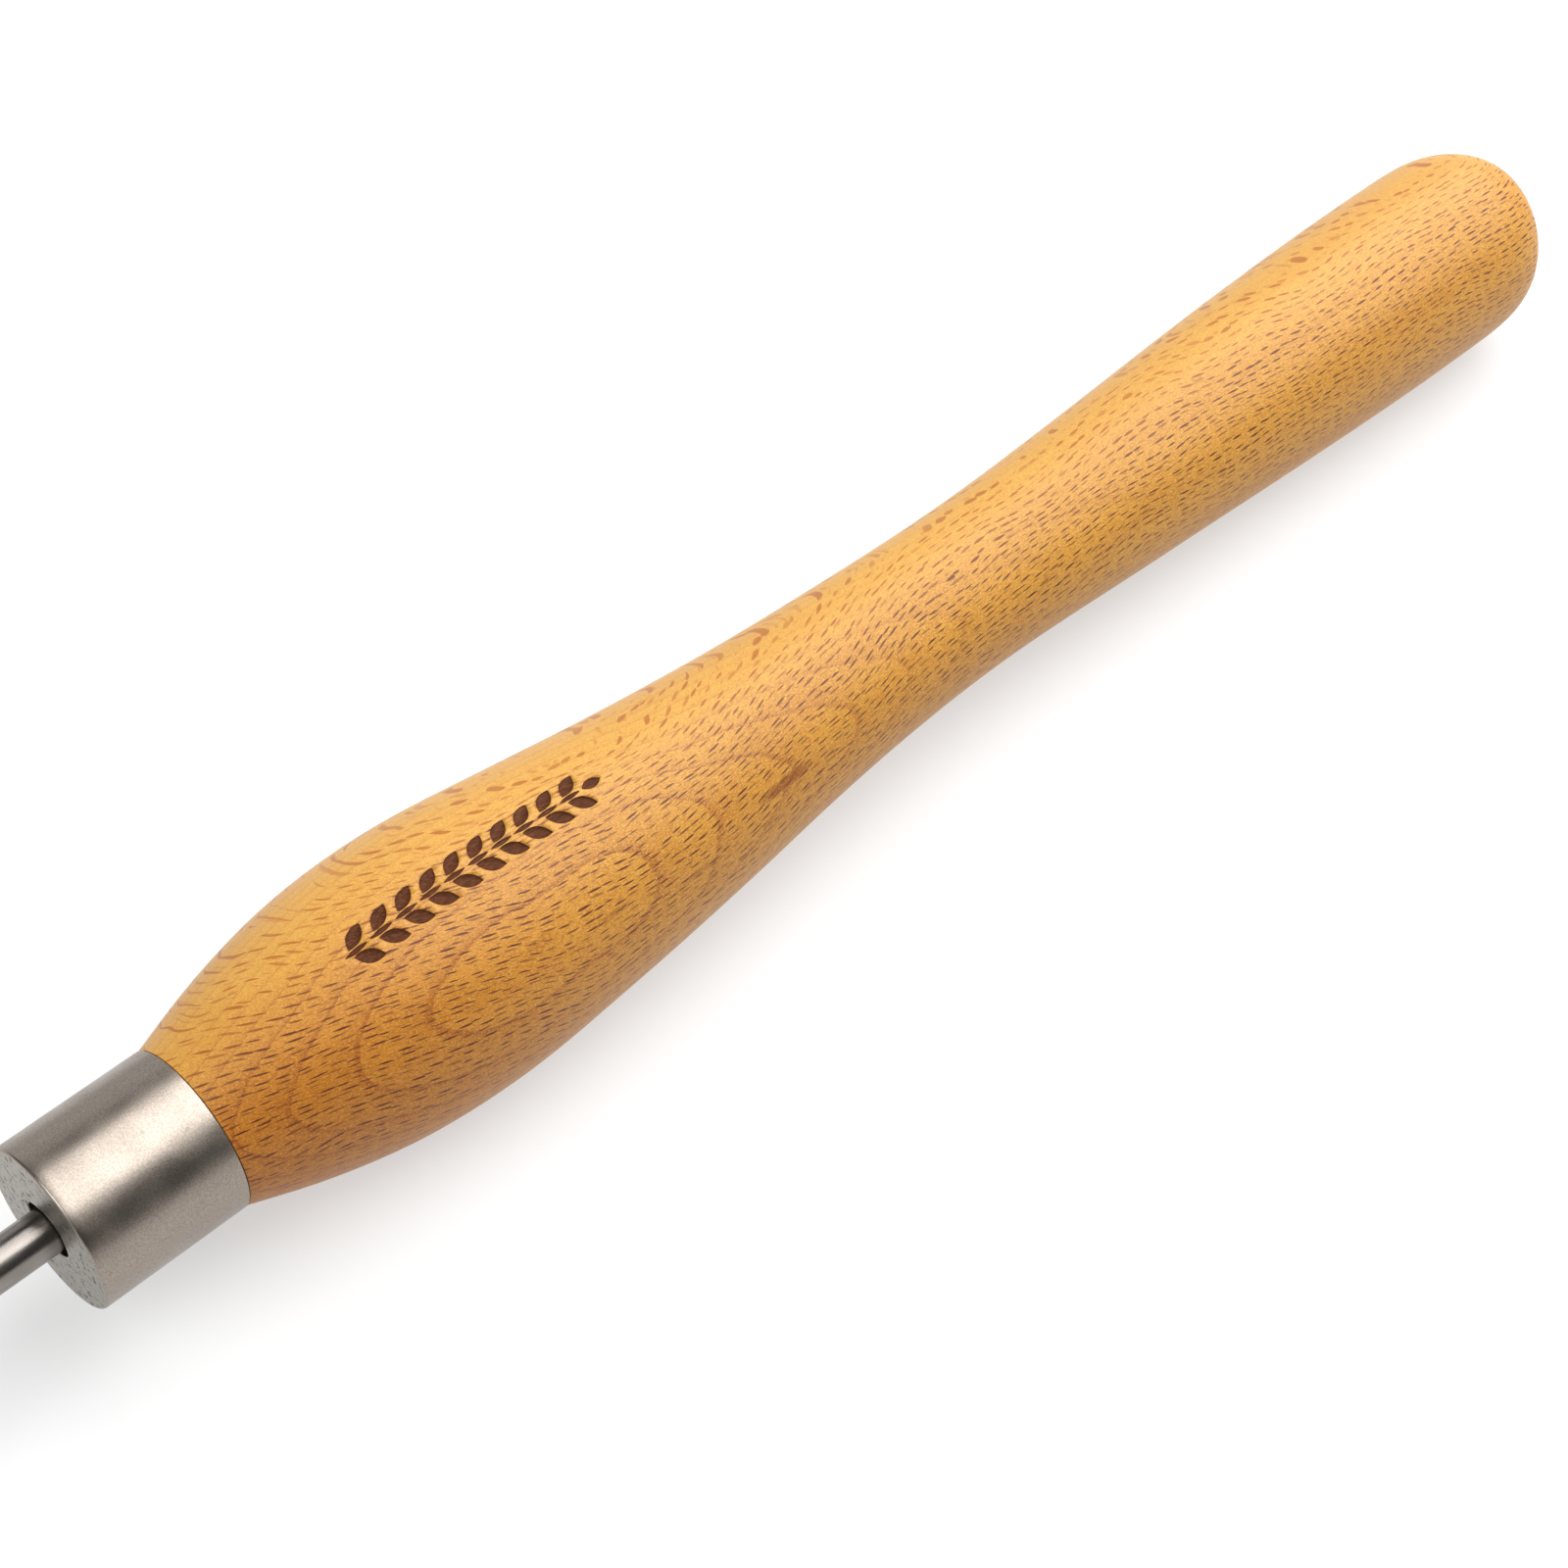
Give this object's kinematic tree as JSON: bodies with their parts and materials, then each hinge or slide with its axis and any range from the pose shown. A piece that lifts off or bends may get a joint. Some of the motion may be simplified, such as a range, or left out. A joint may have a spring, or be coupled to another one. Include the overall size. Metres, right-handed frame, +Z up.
{
  "type": "woodworking gouge",
  "caption": "Hand gouge: a fluted round steel bar set through a closed steel ferrule into a long, waisted, turned beech handle.",
  "frame": {"origin": "under the middle of the tool's bounding box, on the surface that the tool lies on", "axes": "+X along the tool towards the cutting edge (the tool's own axis rises 0.92 degrees towards it, because the handle lies on its bulge and its butt), +Y across, +Z up; the flute opens towards +Z"},
  "size_m": [0.4456, 0.0388, 0.0389],
  "materials": {
    "lacquered_beech": "satin clear lacquer over steamed beech",
    "turned_steel": "satin, turned, with a pitted matte front face",
    "tool_steel": "ground and polished bar, with a bright ground bevel",
    "epoxy": "cured amber adhesive"
  },
  "bodies": {
    "root": {"handle": "lacquered_beech", "ferrule": "turned_steel", "gouge_blade": "tool_steel", "tang_adhesive": "epoxy"}
  },
  "joints": []
}
